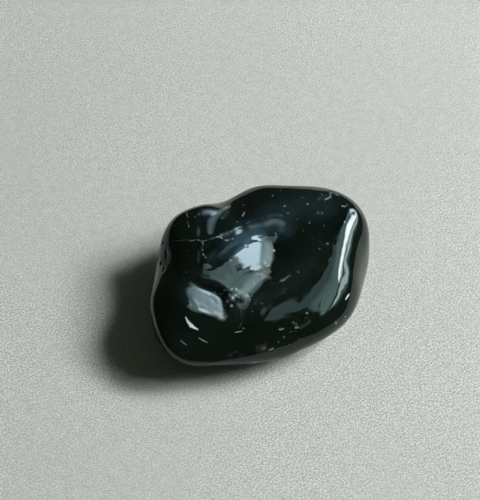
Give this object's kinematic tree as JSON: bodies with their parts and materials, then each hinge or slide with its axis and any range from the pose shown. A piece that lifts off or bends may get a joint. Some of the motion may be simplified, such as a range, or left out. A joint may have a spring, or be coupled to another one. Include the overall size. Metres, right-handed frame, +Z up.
{
  "type": "tumbled onyx stone",
  "caption": "Polished black tumbled stone: a rounded lozenge pebble with a shallow hollow across its top and a small flat rubbed patch underneath to rest on.",
  "frame": {"origin": "middle of the footprint's bounding box, on the resting plane", "axes": "+X along the pebble's longest extent, +Z up through its thickness, +Y completes the right-handed frame"},
  "size_m": [0.0352, 0.0268, 0.0112],
  "materials": {
    "onyx": "high natural polish, near-black with faint blue-grey clouding, tiny pits and healed cracks"
  },
  "bodies": {
    "root": {"stone": "onyx"}
  },
  "joints": []
}
